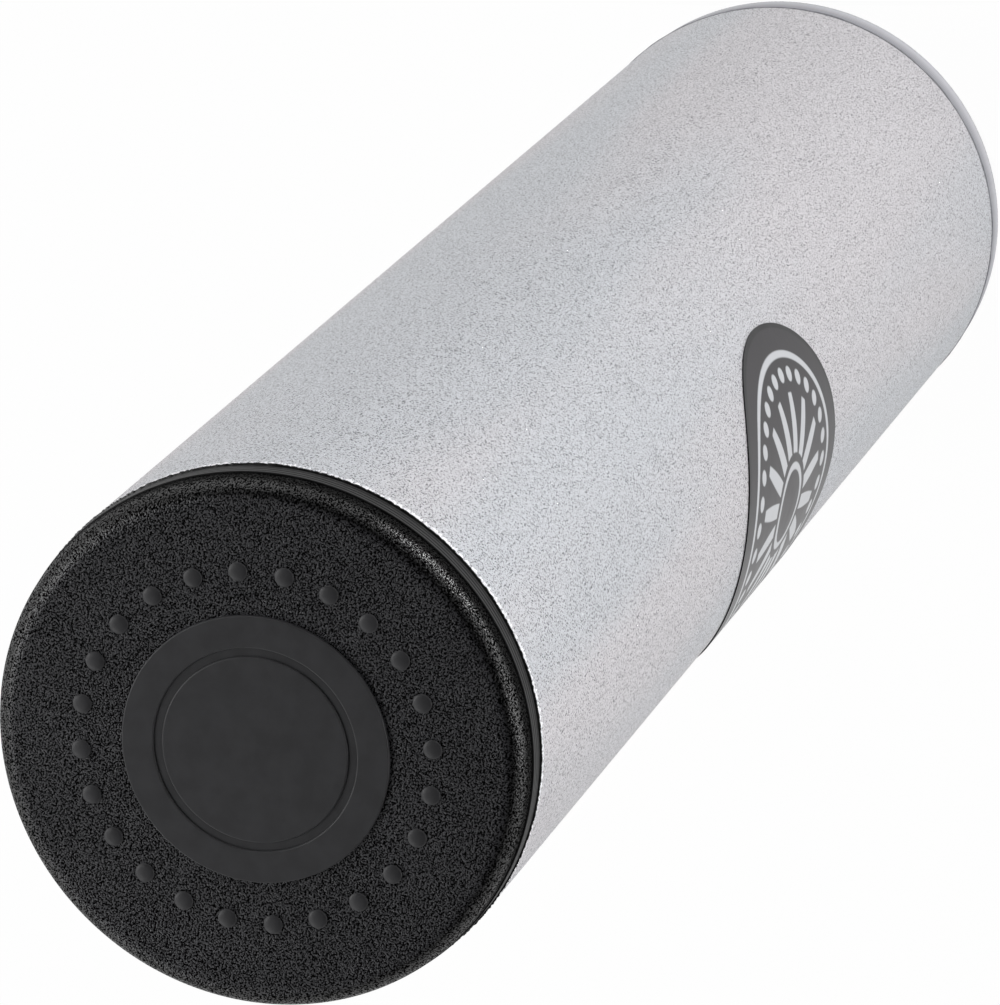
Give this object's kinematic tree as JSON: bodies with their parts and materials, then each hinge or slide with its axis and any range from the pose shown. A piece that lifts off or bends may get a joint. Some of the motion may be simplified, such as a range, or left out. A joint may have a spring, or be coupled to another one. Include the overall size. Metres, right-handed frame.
{
  "type": "ganza shaker",
  "caption": "Cylindrical ganza shaker: a coated tube with a plug cap glued in each end, a round side badge, and loose steel shot that slides and swirls inside.",
  "frame": {"origin": "centre of the rear cap's outer face, on which the shaker stands", "axes": "+Z along the tube from the grey rear cap to the black front cap; the round badge faces -Y"},
  "size_m": [0.0502, 0.0502, 0.2046],
  "materials": {
    "coated_tube": "coarse silver powder coat with fine pits and a soft sparkle",
    "black_cap": "moulded black plastic, leather grain with smooth satin band and raised figure",
    "grey_cap": "moulded grey plastic, leather grain with smooth satin band",
    "black_glue": "cured black glue, uneven edge",
    "clear_glue": "cured grey glue, uneven edge",
    "badge_film": "glossy dark grey printed film",
    "steel_shot": "tumbled bright steel"
  },
  "bodies": {
    "shell": {"tube": "coated_tube", "front_cap": "black_cap", "rear_cap": "grey_cap", "front_glue_bead": "black_glue", "rear_glue_bead": "clear_glue", "badge": "badge_film"},
    "shot_core": {"shot_core_layer_1": "steel_shot", "shot_core_layer_2": "steel_shot", "shot_core_layer_3": "steel_shot", "shot_core_layer_4": "steel_shot"},
    "shot_ring_1_lower": {"shot_ring_1_layer_1": "steel_shot", "shot_ring_1_layer_2": "steel_shot"},
    "shot_ring_1_upper": {"shot_ring_1_layer_3": "steel_shot", "shot_ring_1_layer_4": "steel_shot"},
    "shot_ring_2_lower": {"shot_ring_2_layer_1": "steel_shot", "shot_ring_2_layer_2": "steel_shot"},
    "shot_ring_2_upper": {"shot_ring_2_layer_3": "steel_shot", "shot_ring_2_layer_4": "steel_shot"},
    "shot_ring_3_lower": {"shot_ring_3_layer_1": "steel_shot", "shot_ring_3_layer_2": "steel_shot"},
    "shot_ring_3_upper": {"shot_ring_3_layer_3": "steel_shot", "shot_ring_3_layer_4": "steel_shot"},
    "shot_ring_4_lower": {"shot_ring_4_layer_1": "steel_shot", "shot_ring_4_layer_2": "steel_shot"},
    "shot_ring_4_upper": {"shot_ring_4_layer_3": "steel_shot", "shot_ring_4_layer_4": "steel_shot"}
  },
  "joints": [
    {"name": "shot_core_slide", "type": "slide", "parent": "shell", "child": "shot_core", "axis": [0, 0, 1], "range_m": [0, 0.1814]},
    {"name": "shot_ring_1_slide", "type": "slide", "parent": "shell", "child": "shot_ring_1_lower", "axis": [0, 0, 1], "range_m": [0, 0.1814]},
    {"name": "shot_ring_1_swirl", "type": "hinge", "parent": "shot_ring_1_lower", "child": "shot_ring_1_upper", "pos_m": [0, 0, 0], "axis": [0, 0, 1], "continuous": true},
    {"name": "shot_ring_2_slide", "type": "slide", "parent": "shell", "child": "shot_ring_2_lower", "axis": [0, 0, 1], "range_m": [0, 0.1814]},
    {"name": "shot_ring_2_swirl", "type": "hinge", "parent": "shot_ring_2_lower", "child": "shot_ring_2_upper", "pos_m": [0, 0, 0], "axis": [0, 0, 1], "continuous": true},
    {"name": "shot_ring_3_slide", "type": "slide", "parent": "shell", "child": "shot_ring_3_lower", "axis": [0, 0, 1], "range_m": [0, 0.1814]},
    {"name": "shot_ring_3_swirl", "type": "hinge", "parent": "shot_ring_3_lower", "child": "shot_ring_3_upper", "pos_m": [0, 0, 0], "axis": [0, 0, 1], "continuous": true},
    {"name": "shot_ring_4_slide", "type": "slide", "parent": "shell", "child": "shot_ring_4_lower", "axis": [0, 0, 1], "range_m": [0, 0.1814]},
    {"name": "shot_ring_4_swirl", "type": "hinge", "parent": "shot_ring_4_lower", "child": "shot_ring_4_upper", "pos_m": [0, 0, 0], "axis": [0, 0, 1], "continuous": true}
  ]
}
